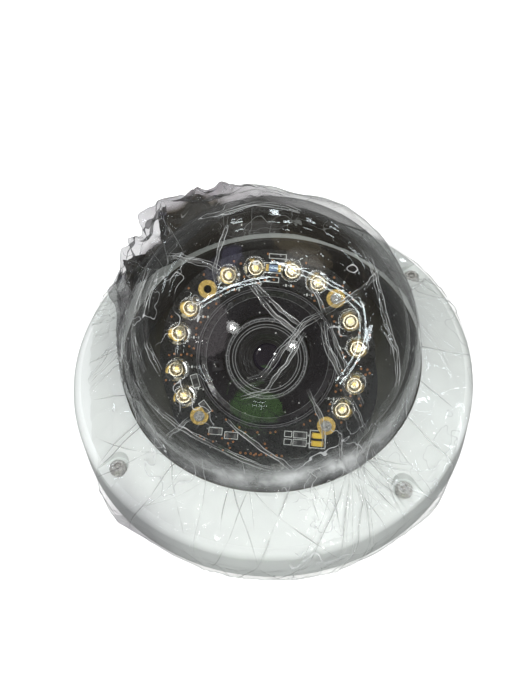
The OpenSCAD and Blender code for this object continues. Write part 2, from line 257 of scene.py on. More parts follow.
    def bump(self, *layers):
        self.link(self.bumps(layers), self.b.inputs["Normal"])


def plastic(name, color, rough=0.5, grain=0.15, gloss=0.5):
    m = Mat(name, color, rough, Specular_IOR_Level=gloss)
    hi = tuple(min(1, c * 1.35 + 0.004) for c in color)
    m.color_from(m.noise(300, 4), color, hi)
    m.rough_from(m.noise(700, 3), rough - 0.08, rough + 0.08)
    m.bump((m.noise(5200, 2), grain, 0.00004))
    return m.m


def painted_shade_inside_wall(m):
    """1 inside the sealing wall of the base, above its mounting face: where the base gets painted shade."""
    x, y, z = m.xyz(m.coord.outputs["Object"])
    within = m.math("LESS_THAN", m.length(x, y), WALL_INNER_R)
    return m.math("MULTIPLY", within, m.math("GREATER_THAN", z, FACE_TOP_Z))


def painted_shade_under_ring(m):
    """1 on the underside of the cover ring, on its bore and on the edge that meets the bubble: where the ring
    gets painted shade.
    """
    x, y, z = m.xyz(m.coord.outputs["Object"])
    nx, ny, nz = m.xyz(m.coord.outputs["Normal"])
    radius = m.length(x, y)
    outwards = m.math("ADD", m.math("MULTIPLY", x, nx), m.math("MULTIPLY", y, ny))
    bore = m.math("MULTIPLY", m.math("LESS_THAN", outwards, -0.012), m.math("LESS_THAN", radius, LIP_BORE_R))
    bore = m.math("MULTIPLY", bore, m.math("LESS_THAN", z, LIP_BORE_Z))
    below = m.math("MAXIMUM", bore, m.math("LESS_THAN", nz, -0.1))
    return m.math("MAXIMUM", below, m.math("LESS_THAN", radius, LIP_EDGE_R))


def coat_with_painted_shade(name, light, rough, inside):
    """Light powder coat with painted shade: dark where inside gives 1."""
    m = Mat(name, light, rough, Coat_Weight=0.15, Coat_Roughness=0.25)
    outer = m.ramp(m.noise(60, 4), [(0.3, tuple(c * 0.96 for c in light)), (0.7, light)])
    # painted shade: dark olive colour standing in for the shade inside the base and under the ring
    inner = m.ramp(m.noise(120, 4), [(0.3, (0.040, 0.038, 0.028)), (0.7, (0.075, 0.072, 0.052))])
    m.link(m.mix_color(inside(m), outer, inner), m.b.inputs["Base Color"])
    m.rough_from(m.noise(900, 2), rough - 0.05, rough + 0.08)
    m.bump((m.noise(1400, 2), 0.12, 0.0001), (m.noise(6000, 1), 0.08, 0.00003))
    return m.m


def rubber(name):
    m = Mat(name, (0.012, 0.012, 0.013), 0.62, Sheen_Weight=0.1)
    m.color_from(m.noise(500, 4), (0.009, 0.009, 0.01), (0.022, 0.022, 0.023))
    m.rough_from(m.noise(900, 2), 0.5, 0.72)
    m.bump((m.noise(3500, 3), 0.2, 0.00005))
    return m.m


def metal(name, color, rough, stretch=None, metallic=0.45):
    m = Mat(name, color, rough, metallic)
    m.color_from(m.noise(900, 4, stretch=stretch), tuple(c * 0.78 for c in color), color)
    m.rough_from(m.noise(1440, 3, stretch=stretch), rough * 0.7, rough * 1.4)
    m.bump((m.noise(3600, 2, stretch=stretch), 0.12, 0.00003))
    return m.m


def anodised(name, color):
    m = Mat(name, color, 0.36, 0.55, Specular_IOR_Level=0.6)
    m.color_from(m.noise(700, 4), color, tuple(c * 1.9 for c in color))
    m.rough_from(m.noise(2500, 2), 0.28, 0.46)
    m.bump((m.noise(9000, 1), 0.1, 0.00002))
    return m.m


def circuit(name, color, light):
    """Solder mask over faint copper tracks."""
    m = Mat(name, color, 0.3, Coat_Weight=0.4, Coat_Roughness=0.15)
    tracks = m.math("LESS_THAN", m.voronoi(420, "DISTANCE_TO_EDGE"), 0.07)
    m.color_from(m.math("ADD", m.math("MULTIPLY", tracks, 0.35), m.noise(240, 4)), color, light, 0.35, 0.95)
    m.rough_from(m.noise(1800, 2), 0.22, 0.4)
    m.bump((tracks, 0.25, 0.00003), (m.noise(7000, 2), 0.12, 0.00002))
    return m.m


def pane(name, tint, ior, gloss_gain, rough, dust=0.0):
    """A thin clear sheet: passes light straight through, with a Fresnel reflection and a little dust."""
    m = Mat(name, tint, rough)
    m.n.remove(m.b)
    gloss = m.shader("Glossy", (1, 1, 1))
    m.set(gloss, "Roughness", rough)
    fr = m.thin_fresnel(ior)
    normal = m.bumps([(m.noise(40, 1), 0.05, 0.0006)])
    m.link(normal, gloss.inputs["Normal"])
    m.link(normal, fr.inputs["Normal"])
    base = m.shader("Transparent", tint).outputs["BSDF"]
    if dust:
        dots = m.math("LESS_THAN", m.voronoi(520), 0.10)
        few = m.range(m.noise(700, 1), 0.0, dust, 0.5, 0.6)
        speck = m.shader("Diffuse", (0.8, 0.8, 0.78))
        base = m.mix_shader(m.math("MULTIPLY", dots, few), base, speck.outputs["BSDF"])
    reflect = m.math("MULTIPLY", fr.outputs["Fac"], gloss_gain)
    m.surface(m.mix_shader(reflect, base, gloss.outputs["BSDF"]))
    return m.m


def film_shader(name):
    """Clear wrapping film, led by values at its points.

    folds tints it, as layered film and partly as painted shade, and whitens it; behind is painted shade that
    darkens it only where it is seen from inside; the sheen value makes it milky, a painted reflection.
    """
    m = Mat(name, (0.9, 0.9, 0.9), 0.04)
    m.n.remove(m.b)
    folds, behind, painted_sheen = (m.attribute(a) for a in ("folds", "behind", "painted_sheen"))
    ridge = m.range(m.voronoi(170, "DISTANCE_TO_EDGE"), 1.0, 0.0, 0.0, 0.05)
    patchy = m.range(m.noise(45, 2), 0.0, 1.0, 0.5, 0.62)
    normal = m.bumps([(m.noise(70, 3, 0.5), 0.22, 0.0007), (m.math("MULTIPLY", ridge, patchy), 0.45, 0.0002),
                      (m.noise(300, 2), 0.07, 0.00008)])
    clear, milk_and_painted_light = m.shader("Transparent", (1, 1, 1)), m.shader("Diffuse", (0.74, 0.76, 0.76))
    # shade: tint from folds, plus painted shade from behind on faces seen from inside
    shade = m.math("ADD", folds, m.math("MULTIPLY", behind, m.backfacing()))
    # tint ramp: layered film at the light end, painted shade down to near black at the dark end
    tints = [(0.0, (0.975, 0.98, 0.97)), (0.45, (0.74, 0.735, 0.745)), (0.7, (0.42, 0.40, 0.415)),
             (0.95, (0.08, 0.068, 0.055)), (1.0, (0.022, 0.019, 0.014))]
    m.link(m.ramp(m.math("MINIMUM", shade, 1.0), tints), clear.inputs["Color"])
    cloud = m.range(m.noise(130, 4), 0.2, 1.9, 0.3, 0.7)
    # haze: real milkiness of the film, plus the painted reflection band and, below, the painted highlight
    # loops
    haze_and_painted_light = m.math("MULTIPLY", cloud, m.math("ADD", m.range(folds, 0.003, 0.042), painted_sheen))
    # painted highlights: thin white contour loops standing in for glints on small bumps in the film
    for scale, level, width, mask_scale, mask in ((62, 0.60, 0.0035, 38, 0.52), (95, 0.42, 0.003, 31, 0.55)):
        off = m.math("ABSOLUTE", m.math("SUBTRACT", m.noise(scale, 2.5, 0.55), level))
        shown = m.range(m.noise(mask_scale, 1), 0.0, PAINTED_HIGHLIGHT_LOOPS, mask, mask + 0.04)
        haze_and_painted_light = m.math("MAXIMUM", haze_and_painted_light, m.math("MULTIPLY", m.math("LESS_THAN", off, width), shown))
    base = m.mix_shader(haze_and_painted_light, clear.outputs["BSDF"], milk_and_painted_light.outputs["BSDF"])
    gloss = m.shader("Glossy", (0.8, 0.8, 0.8))
    m.link(m.range(m.noise(200, 2), 0.03, 0.08, 0.35, 0.65), gloss.inputs["Roughness"])
    fr = m.thin_fresnel(1.5)
    for node in (gloss, fr):
        m.link(normal, node.inputs["Normal"])
    m.surface(m.mix_shader(fr.outputs["Fac"], base, gloss.outputs["BSDF"]))
    return m.m


def crease_shader(name, color, lo, hi):
    """A sharp fold line in the film drawn in flat colour, as a painted highlight or painted shade line: half
    clear, stronger in some places than in others.
    """
    m = Mat(name, color, 0.35)
    m.color_from(m.noise(300, 2), tuple(c * 0.9 for c in color), color)
    m.rough_from(m.noise(600, 2), 0.25, 0.45)
    clear = m.shader("Transparent", (1, 1, 1))
    shown = m.range(m.noise(110, 2), lo, hi, 0.36, 0.64)
    m.surface(m.mix_shader(shown, clear.outputs["BSDF"], m.b.outputs["BSDF"]))
    return m.m


def epoxy(name):
    m = Mat(name, (1, 1, 1), 0.03, Transmission_Weight=1.0, IOR=1.5)
    m.rough_from(m.noise(900, 3), 0.01, 0.06)
    m.bump((m.noise(500, 2), 0.06, 0.0001))
    return m.m


def coated_glass(name):
    """Lens coating that turns from violet to green towards the edge."""
    m = Mat(name, (0.02, 0.01, 0.05), 0.03, Coat_Weight=1.0, Coat_Roughness=0.02, Specular_IOR_Level=0.9)
    lw = m.n.new("ShaderNodeLayerWeight")
    m.set(lw, "Blend", 0.35)
    hues = [(0.0, (0.006, 0.004, 0.014)), (0.6, (0.02, 0.01, 0.04)), (1.0, (0.02, 0.06, 0.035))]
    m.link(m.ramp(lw.outputs["Facing"], hues), m.b.inputs["Base Color"])
    m.bump((m.noise(80, 1), 0.02, 0.0001))
    return m.m


M = {
    # cover ring and base: light coat with painted shade on their inner and under faces
    "white": coat_with_painted_shade("white_paint", (0.83, 0.865, 0.85), 0.34, painted_shade_under_ring),
    "base": coat_with_painted_shade("base_paint_with_painted_shade", (0.6, 0.625, 0.6), 0.42, painted_shade_inside_wall),
    "rubber": rubber("black_rubber"),
    "black": plastic("black_plastic", (0.010, 0.010, 0.011), 0.46),
    "gloss": plastic("satin_black", (0.016, 0.015, 0.019), 0.24, 0.06, 0.6),
    "ano": anodised("black_anodised", (0.014, 0.014, 0.016)),
    "steel": metal("screw_steel", (0.62, 0.61, 0.59), 0.26),
    "spring": metal("spring_steel", (0.55, 0.55, 0.55), 0.3, (1, 1, 12)),
    "nylon": plastic("nylon", (0.72, 0.70, 0.64), 0.42),
    "green": circuit("board_green", (0.006, 0.05, 0.02), (0.012, 0.09, 0.035)),
    "board": circuit("board_black", (0.007, 0.008, 0.009), (0.02, 0.021, 0.022)),
    "die": plastic("sensor_die", (0.03, 0.03, 0.05), 0.12, 0.02, 0.9),
    "chip": plastic("chip_black", (0.012, 0.012, 0.013), 0.5),
    "ivory": plastic("connector_ivory", (0.70, 0.66, 0.54), 0.42),
    "filter": pane("cut_filter", (0.55, 0.85, 0.9), 1.5, 1.0, 0.02),
    "epoxy": epoxy("led_epoxy"),
    "tin": metal("tinned_lead", (0.42, 0.42, 0.43), 0.2, metallic=0.7),
    "cup": metal("led_cup", (0.50, 0.45, 0.34), 0.24, metallic=0.7),
    "yellow": plastic("phosphor_gel", (0.80, 0.52, 0.06), 0.25, 0.08),
    "resistor": plastic("resistor_black", (0.02, 0.02, 0.022), 0.35),
    "sensor": plastic("light_sensor_blue", (0.16, 0.22, 0.33), 0.2, 0.04),
    "coated": coated_glass("coated_glass"),
    "dome": pane("clear_bubble", (0.95, 0.955, 0.95), 1.49, 0.8, 0.012, dust=0.5),
    "film": film_shader("clear_film"),
    # crease lines: the white ones are painted highlights, the grey ones painted shade
    "crease": crease_shader("crease_painted_highlight", (0.86, 0.88, 0.88), 0.05, 0.75),
    "painted_shade_crease": crease_shader("crease_painted_shade", (0.30, 0.30, 0.29), 0.0, 0.30),
    "gold": metal("gold_plate", (0.95, 0.66, 0.20), 0.24),
    "copper": metal("copper_via", (0.70, 0.30, 0.12), 0.35),
    "legend": plastic("legend_ink", (0.62, 0.63, 0.62), 0.55),
    "face": plastic("face_grey", (0.055, 0.055, 0.06), 0.34),
    "scale": plastic("scale_grey", (0.30, 0.30, 0.31), 0.4),
    "edge": plastic("edge_painted_highlight", (0.14, 0.14, 0.145), 0.35),
}

NODE_MATERIALS = {
    "base_housing": "base", "base_wall": "base", "cover_posts": "base", "pan_seat": "black",
    "base_oring": "rubber", "cable_grommet": "rubber", "pan_washer": "spring",
    "pan_retainer": "black", "pan_screws": "steel", "pan_yoke": "black", "tilt_cradle": "black",
    "tilt_screws": "steel", "tilt_washers": "nylon", "module_housing": "black", "rear_cap": "black",
    "rear_screws": "steel", "camera_board": "green", "image_sensor": "die", "board_chips": "chip",
    "board_connector": "ivory", "lens_holder": "black", "ir_filter": "filter", "led_board": "board",
    "ir_leds": "epoxy", "led_leads": "tin", "smd_leds": "yellow", "smd_resistors": "resistor",
    "light_sensor": "sensor", "led_connector": "ivory", "board_screws": "steel", "lens_shroud": "gloss",
    "focus_ring": "ano", "lens_barrel": "ano", "lens_retainer": "ano", "front_lens": "coated",
    "rear_lens": "coated", "cover_ring": "white", "dome_bubble": "dome", "bubble_gasket": "rubber",
    "bubble_retainer": "black", "retainer_screws": "steel", "cover_screws": "steel",
}


def dress_nodes():
    for node, key in NODE_MATERIALS.items():
        o = bpy.data.objects[node]
        if not o.data.materials:
            o.data.materials.append(None)
        for i in range(len(o.material_slots)):
            o.material_slots[i].link = "OBJECT"
            o.material_slots[i].material = M[key]


dress_nodes()
bpy.data.objects["ir_leds"].visible_shadow = False

# ---------------------------------------------------------------- mesh helpers


def piece(name, verts, faces, material, body, smooth=False, matrix=None):
    """A mesh object made of points in metres, riding on a body."""
    me = bpy.data.meshes.new(name)
    me.from_pydata([tuple(v) for v in verts], [], faces)
    if matrix is not None:
        me.transform(matrix)
    bm = bmesh.new()
    bm.from_mesh(me)
    bmesh.ops.recalc_face_normals(bm, faces=bm.faces)
    bm.to_mesh(me)
    bm.free()
    for p in me.polygons:
        p.use_smooth = smooth
    me.materials.append(material)
    o = bpy.data.objects.new(name, me)
    scene.collection.objects.link(o)
    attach(o, body)
    return o


class Shape:
    """Collects simple closed solids, in millimetres, into one mesh."""

    def __init__(self):
        self.v, self.f = [], []

    def add(self, verts, faces):
        k = len(self.v)
        self.v += verts
        self.f += [tuple(i + k for i in f) for f in faces]

    def box(self, cx, cy, sx, sy, z0, z1, turn=0.0):
        c, s = math.cos(math.radians(turn)), math.sin(math.radians(turn))
        vs = []
        for z in (z0, z1):
            for dx, dy in ((-1, -1), (1, -1), (1, 1), (-1, 1)):
                x, y = dx * sx / 2, dy * sy / 2
                vs.append((cx + x * c - y * s, cy + x * s + y * c, z))
        self.add(vs, [(3, 2, 1, 0), (4, 5, 6, 7), (0, 1, 5, 4), (1, 2, 6, 5), (2, 3, 7, 6), (3, 0, 4, 7)])

    def ring(self, cx, cy, ro, ri, z0, z1, n=40):
        """An upright washer; ri of 0 makes a disc."""
        vs, fs = [], []
        prof = [(ro, z0), (ro, z1), (ri, z1), (ri, z0)] if ri > 0 else [(ro, z0), (ro, z1)]
        k = len(prof)
        for i in range(n):
            a = 2 * math.pi * i / n
            vs += [(cx + r * math.cos(a), cy + r * math.sin(a), z) for r, z in prof]
        for i in range(n):
            j = (i + 1) % n
            for q in range(k if ri > 0 else 1):
                p = (q + 1) % k
                fs.append((i * k + q, j * k + q, j * k + p, i * k + p))
        if ri <= 0:
            fs.append(tuple(i * k for i in reversed(range(n))))
            fs.append(tuple(i * k + 1 for i in range(n)))
        self.add(vs, fs)

    def lathe(self, cx, cy, profile, n=32):
        """A solid of revolution whose profile starts and ends on the axis."""
        vs, fs = [(cx, cy, profile[0][1])], []
        inner = profile[1:-1]
        k = len(inner)
        for i in range(n):
            a = 2 * math.pi * i / n
            vs += [(cx + r * math.cos(a), cy + r * math.sin(a), z) for r, z in inner]
        vs.append((cx, cy, profile[-1][1]))
        last = len(vs) - 1
        for i in range(n):
            j = (i + 1) % n
            fs.append((0, 1 + j * k, 1 + i * k))
            for q in range(k - 1):
                fs.append((1 + i * k + q, 1 + j * k + q, 1 + j * k + q + 1, 1 + i * k + q + 1))
            fs.append((1 + i * k + k - 1, 1 + j * k + k - 1, last))
        self.add(vs, fs)

    def make(self, name, material, body, slot, matrix=MODULE, smooth=False):
        pts = [(x * MM, y * MM, z * MM) for x, y, z in self.v]
        return piece(name, pts, self.f, material, body, smooth, matrix)


def on_circle(r, degrees):
    a = math.radians(degrees)
    return r * math.cos(a), r * math.sin(a)


# ---------------------------------------------------------------- LED board details

COPPER = 0.04
BOARD_T = 1.6
LEAD_OFFSET = 1.27
LAND_R, LAND_HOLE_R = 2.3, 1.02
INK = (BOARD_W - 0.02, BOARD_W + 0.03)
SMD_LED_X, SMD_LED_Y = 14, (-18.5, -20.5)
RESISTORS = [(9.6, -18.7, 0), (9.6, -20.7, 0), (-11.6, -19.4, 0), (-7.6, -20.2, 0), (-17.5, -7.2, 110),
             (-14.6, -13.6, 130)]  # centre and turn of each
VIA_COUNT = 90


def led_spots():
    """Centre and angle of each clear LED."""
    return [(*on_circle(LED_CIRCLE, a), a) for a in LED_ANGLES]


def board_lands():
    s = Shape()
    for a in LAND_ANGLES:
        s.ring(*on_circle(LED_CIRCLE, a), LAND_R, LAND_HOLE_R, BOARD_W - 0.3, BOARD_W + COPPER)
    for x, y, a in led_spots():
        for side in (-1, 1):
            tx, ty = on_circle(LEAD_OFFSET * side, a + 90)
            s.ring(x + tx, y + ty, 0.95, 0.44, BOARD_W - 0.05, BOARD_W + COPPER, 20)
    for side in (-1, 1):
        s.box(1.35 * side, 22.3, 0.9, 1.7, BOARD_W - 0.02, BOARD_W + 0.12)
    for y in SMD_LED_Y:
        for side in (-1, 1):
            s.box(SMD_LED_X + 1.25 * side, y, 0.55, 1.35, BOARD_W - 0.02, BOARD_W + 0.14)
    s.make("board_lands", M["gold"], "module", "steel")


def led_frames():
    """Lead frame inside each clear LED: a thin post, a wide post that carries the cup, and the die."""
    s, d = Shape(), Shape()
    cup = [(0, 2.3), (0.7, 2.35), (0.95, 3.6), (0.82, 3.62), (0.5, 3.1), (0, 3.05)]
    cup = [(r, BOARD_W + z) for r, z in cup]
    for x, y, a in led_spots():
        tx, ty = on_circle(1.0, a + 90)
        s.box(x + tx * 1.15, y + ty * 1.15, 0.45, 0.9, BOARD_W + 0.2, BOARD_W + 3.4, a + 90)
        s.box(x - tx * 0.9, y - ty * 0.9, 1.3, 0.55, BOARD_W + 0.2, BOARD_W + 2.6, a + 90)
        s.lathe(x - tx * 0.15, y - ty * 0.15, cup, 20)
        d.box(x - tx * 0.15, y - ty * 0.15, 0.4, 0.4, BOARD_W + 3.05, BOARD_W + 3.25, a)
    s.make("led_frames", M["cup"], "module", "tinned_lead")
    d.make("led_dies", M["gold"], "module", "steel")


def solder_joints():
    s = Shape()
    back = BOARD_W - BOARD_T
    cone = [(0, 0.02), (0.9, 0.02), (0.86, -0.12), (0.5, -0.5), (0.38, -1.0), (0, -1.15)]
    cone = [(r, back + z) for r, z in cone]
    for x, y, a in led_spots():
        for side in (-1, 1):
            tx, ty = on_circle(LEAD_OFFSET * side, a + 90)
            s.lathe(x + tx, y + ty, cone, 16)
    s.make("solder_joints", M["tin"], "module", "tinned_lead", smooth=True)


def resistor_ends():
    s = Shape()
    for x, y, turn in RESISTORS:
        c, k = math.cos(math.radians(turn)), math.sin(math.radians(turn))
        for side in (-1, 1):
            s.box(x + side * 0.86 * c, y + side * 0.86 * k, 0.38, 1.26, BOARD_W, BOARD_W + 0.55, turn)
            s.box(x + side * 1.15 * c, y + side * 1.15 * k, 0.5, 1.3, BOARD_W, BOARD_W + 0.1, turn)
    s.make("resistor_ends", M["tin"], "module", "tinned_lead")


def legend():
    """White outlines round the parts, with no lettering."""
    s = Shape()

    def outline(cx, cy, sx, sy, turn=0.0, w=0.16):
        c, k = math.cos(math.radians(turn)), math.sin(math.radians(turn))
        for dx, dy, lx, ly in ((0, sy / 2, sx + w, w), (0, -sy / 2, sx + w, w),
                               (sx / 2, 0, w, sy), (-sx / 2, 0, w, sy)):
            s.box(cx + dx * c - dy * k, cy + dx * k + dy * c, lx, ly, *INK, turn)

    for a in LED_ANGLES:
        x, y = on_circle(LED_CIRCLE - 3.9, a)
        for i in range(4):
            s.box(x + (i - 1.5) * 0.62, y, 0.34, 0.12 + 0.5 * (i % 2), *INK)
    outline(SMD_LED_X, -19.5, 3.9, 4.4, w=0.2)
    for x, y, _ in RESISTORS[:2]:
        outline(x, y, 3.3, 1.6)
        s.box(x + 2.15, y, 0.55, 0.14, *INK)
        s.box(x + 2.15, y, 0.14, 0.55, *INK)
        outline(x - 3.0, y, 1.8, 1.4)
    for x, y, turn in RESISTORS[2:]:
        outline(x, y, 3.3, 1.7, turn)
    for box in ((0, 22.3, 4.6, 2.4), (0, 19.4, 3.0, 1.2), (0.9, 25.2, 4.2, 1.1)):
        outline(*box)
    s.make("board_legend", M["legend"], "module", "board_black")


def vias():
    """Copper holes scattered between the parts, and a row of them along the lower edge."""
    rng = random.Random(7)
    s = Shape()
    taken = [on_circle(LED_CIRCLE, b) for b in LED_ANGLES + list(LAND_ANGLES)]
    spots = []
    while len(spots) < VIA_COUNT:
        r, a = rng.uniform(18.4, 26.2), rng.uniform(0, 360)
        x, y = on_circle(r, a)
        clear = min(math.hypot(x - u, y - v) for u, v in taken) > 3.3
        apart = all(math.hypot(x - u, y - v) > 1.0 for u, v in spots)
        if clear and apart and not (4 < x < 17 and y < -17):
            spots.append((x, y))
    for x, y in spots:
        s.ring(x, y, 0.26, 0.11, BOARD_W - 0.02, BOARD_W + 0.035, 14)
    for i in range(9):
        s.ring(-5.0 + i * 1.3, -24.4, 0.3, 0.13, BOARD_W - 0.02, BOARD_W + 0.035, 14)
    s.make("board_vias", M["copper"], "module", "board_black")


def lens_marks():
    """Fine rings and ticks on the front of the focus ring and the lens barrel, and grey rings on the shroud's
    edges as painted highlights.
    """
    scale, face, edge_highlights, barrel = Shape(), Shape(), Shape(), Shape()
    for r in (9.95, 9.35):
        scale.ring(0, 0, r, r - 0.1, 22.7, 22.84, 96)
    for i in range(48):
        scale.box(*on_circle(9.68, i * 7.5), 0.34, 0.12, 22.7, 22.84, i * 7.5)
    face.ring(0, 0, 10.15, 9.75, 22.7, 22.81, 96)
    face.ring(0, 0, 9.6, 9.4, 22.68, 22.8, 96)
    # painted highlights: grey rings where the shroud's edges catch the light
    for r, z in ((17.5, BOARD_W + 0.9), (16.95, BOARD_W + 0.88), (15.3, BOARD_W - 0.7)):
        edge_highlights.ring(0, 0, r, r - 0.11, z - 0.1, z + 0.06, 96)
    for r in (8.5, 7.85):
        barrel.ring(0, 0, r, r - 0.12, 22.3, 22.46, 96)
    scale.make("focus_scale", M["scale"], "focus", "anodised_black")
    face.make("focus_face", M["face"], "focus", "anodised_black")
    edge_highlights.make("shroud_edge_highlights", M["edge"], "module", "gloss_black")
    barrel.make("barrel_rings", M["scale"], "lens", "anodised_black")


def lens_inside():
    """Baffle rings seen through the front glass."""
    s = Shape()
    for k in range(4):
        r = 3.3 - 0.55 * k
        s.ring(0, 0, r, r - 0.35, 14.6 - 1.1 * k, 15.0 - 1.1 * k, 48)
    s.make("lens_baffles", M["ano"], "lens", "anodised_black")


for build in (board_lands, led_frames, solder_joints, resistor_ends, legend, vias, lens_marks, lens_inside):
    build()

# ---------------------------------------------------------------- film

APEX_Z = 25.2  # centre of the film's dome
FILM_R = 39.42
PROFILE_STEPS = 72
EDGE_S = 83.0  # distance from the apex to the film's loose edge at the back
MAX_LIFT = 12.0
MIN_Z = 0.6
CLEAR_LOOK = (0.05, 0.0, 0.0)  # folds, painted sheen and behind at the apex
GATHER = [(141, 11.0, 11), (126, 5.6, 8), (112, 6.8, 9), (99, 4.6, 9), (86, 1.4, 10),
          (163, 3.6, 8)]  # azimuth, height and width of the bunched film behind the bubble


def film_profile():
    """Radius and height in millimetres along the film from the apex to the foot of the ring."""
    pts = []
    for i in range(PROFILE_STEPS + 1):
        t = math.radians(90 - i * 90 / PROFILE_STEPS)
        pts.append((FILM_R * math.cos(t), APEX_Z + FILM_R * math.sin(t)))
    pts += [(39.5, 22.9), (39.7, 21.4), (40.7, 20.45), (42.4, 19.85), (44.3, 19.05), (48.5, 17.0),
            (52.6, 14.9), (54.0, 13.9), (54.9, 12.6), (55.3, 11.0), (55.4, 8.0), (55.4, 4.0), (55.0, 1.6),
            (53.6, 0.9)]
    return np.array(pts)


def smooth(x, a, b):
    t = np.clip((x - a) / (b - a), 0, 1)
    return t * t * (3 - 2 * t)


def bell(x, centre, width):
    return np.exp(-((x - centre) / width) ** 2)


def turn_gap(a, b):
    """Smallest signed difference between two angles in degrees."""
    return (a - b + 180) % 360 - 180


def around(a, centre, width):
    """Bell over azimuth."""
    return bell(turn_gap(a, centre), 0, width)


# Long creases on the bubble: azimuth and elevation of points along each, then height and width in millimetres
CREASES = [
    ([(-154, 18), (-132, 18), (-111, 16), (-92, 7)], 0.55, 0.55),
    ([(-109, 29), (-99, 22), (-89, 13), (-84, 4)], 0.4, 0.5),
    ([(-121, 79), (-80, 68), (-66, 60)], 0.35, 0.45),
    ([(-118, 77), (-84, 66), (-70, 58)], 0.3, 0.4),
    ([(-106, 42), (-95, 46), (-83, 55), (-65, 61), (-48, 61)], 0.45, 0.5),
    ([(-104, 38), (-93, 42), (-80, 52), (-66, 59)], 0.3, 0.4),
    ([(-54, 59), (-59, 52), (-59, 39), (-59, 27), (-56, 10)], 0.45, 0.55),
    ([(-50, 57), (-54, 48), (-55, 36), (-54, 24)], 0.3, 0.4),
    ([(162, 49), (-176, 70), (-150, 74)], 0.6, 0.7),
    ([(169, 47), (-170, 39), (-157, 35), (-143, 32)], 0.6, 0.8),
    ([(165, 40), (-168, 30), (-150, 26)], 0.5, 0.7),
    ([(-124, 24), (-131, 12), (-134, 4)], 0.4, 0.5),
    ([(-48, 61), (-20, 55), (5, 44)], 0.4, 0.6),
    ([(-48, 61), (-40, 70), (-10, 74)], 0.3, 0.5),
    ([(-30, 30), (-20, 42), (-5, 48), (15, 50)], 0.5, 0.8),
    ([(-36, 18), (-28, 30), (-26, 42)], 0.5, 0.7),
    ([(60, 62), (95, 60), (130, 58)], 0.6, 1.0),
    ([(120, 66), (-170, 72), (-135, 66)], 0.4, 0.6),
    ([(-75, 40), (-72, 28), (-73, 12)], 0.35, 0.5),
    ([(-68, 30), (-66, 16), (-68, 2)], 0.4, 0.5),
]


def direction(az, el):
    a, e = math.radians(az), math.radians(el)
    return np.array([math.cos(a) * math.cos(e), math.sin(a) * math.cos(e), math.sin(e)])


def crease_heights(points):
    """Height that the long creases add to points given in millimetres."""
    h = np.zeros(len(points))
    for path, height, width in CREASES:
        knots = [direction(*p) * FILM_R + np.array([0, 0, APEX_Z]) for p in path]
        best = np.full(len(points), 1e9)
        along = np.zeros(len(points))
        for k in range(len(knots) - 1):
            a, b = knots[k], knots[k + 1]
            d = b - a
            t = np.clip(((points - a) @ d) / (d @ d), 0, 1)
            q = a + t[:, None] * d
            q = q - np.array([0, 0, APEX_Z])
            q = q / np.linalg.norm(q, axis=1)[:, None] * FILM_R + np.array([0, 0, APEX_Z])
            dist = np.linalg.norm(points - q, axis=1)
            near = dist < best
            best = np.where(near, dist, best)
            along = np.where(near, (k + t) / (len(knots) - 1), along)
        taper = np.clip(np.minimum(along, 1 - along) * 6, 0.15, 1)
        h += height * taper * np.exp(-np.abs(best) / width)
    return h


def noise_field(points, scale, seed, octaves=3):
    off = Vector((seed * 17.3, seed * 5.1, seed * 9.7))
    return np.array([noise.fractal(Vector(p) * scale + off, 0.9, 2.0, octaves) for p in points])


def cells_field(points, scale, seed):
    """Crumpled facets: high along the borders of random cells."""
    off = Vector((seed * 3.7, seed * 11.9, seed * 1.3))
    out = np.empty(len(points))
    for i, p in enumerate(points):
        d = noise.voronoi(Vector(p) * scale + off)[0]
        out[i] = 1.0 - min(1.0, (d[1] - d[0]) * 2.4)
    return out


def fold_list():
    """Folds that run outwards over the ring, bunched where the film is gathered."""
    rng = random.Random(5)
    bunches = [(-62, 7, 22, 0.55), (-118, 16, 9, 0.35), (-150, 14, 4, 0.4), (-90, 22, 6, 0.3),
               (-30, 16, 5, 0.4), (20, 20, 4, 0.5), (160, 18, 8, 0.8), (125, 22, 20, 1.2),
               (75, 24, 14, 0.9)]  # centre, spread, count, height
    out = []
    for centre, spread, count, height in bunches:
        for _ in range(count):
            out.append((rng.gauss(centre, spread), rng.gauss(0.0, 0.75), rng.uniform(0.28, 0.7),
                        rng.uniform(52, 66), rng.uniform(74, 96), height * rng.uniform(0.4, 1.0),
                        rng.random()))
    return out


def radial_creases(az, s):
    h = np.zeros_like(az)
    for a0, lean, wide, s0, s1, tall, _ in fold_list():
        reach = smooth(s, s0 - 4, s0 + 4) * (1 - smooth(s, s1 - 3, s1 + 3))
        h += tall * reach * np.exp(-np.abs(turn_gap(az, a0 + lean * (s - 66))) / wide)
    return h


class FilmSheet:
    """Looks up points on the finished film by azimuth in degrees and distance from the apex."""

    def __init__(self, points, edge, n_az, n_s):
        self.p = points.reshape(n_az, n_s, 3)
        self.edge, self.n_az, self.n_s = edge, n_az, n_s

    def at(self, az, s):
        f = ((az + 180) % 360) / 360 * self.n_az
        i = int(f) % self.n_az
        j = (i + 1) % self.n_az
        f -= int(f)
        e = self.edge[i] * (1 - f) + self.edge[j] * f
        if s > e - 0.4:
            return None
        g = min(max(s / e * self.n_s - 1, 0), self.n_s - 1.001)
        k = int(g)
        g -= k
        q = self.p
        near, far = (q[i, m] * (1 - f) + q[j, m] * f for m in (k, k + 1))
        return Vector(near * (1 - g) + far * g)

    def normal(self, az, s):
        a, b = self.at(az - 0.3, s), self.at(az + 0.3, s)
        c, d = self.at(az, s - 0.3), self.at(az, s + 0.3)
        if None in (a, b, c, d):
            return None
        n = (d - c).cross(b - a)
        return n.normalized() if n.length > 1e-9 else None


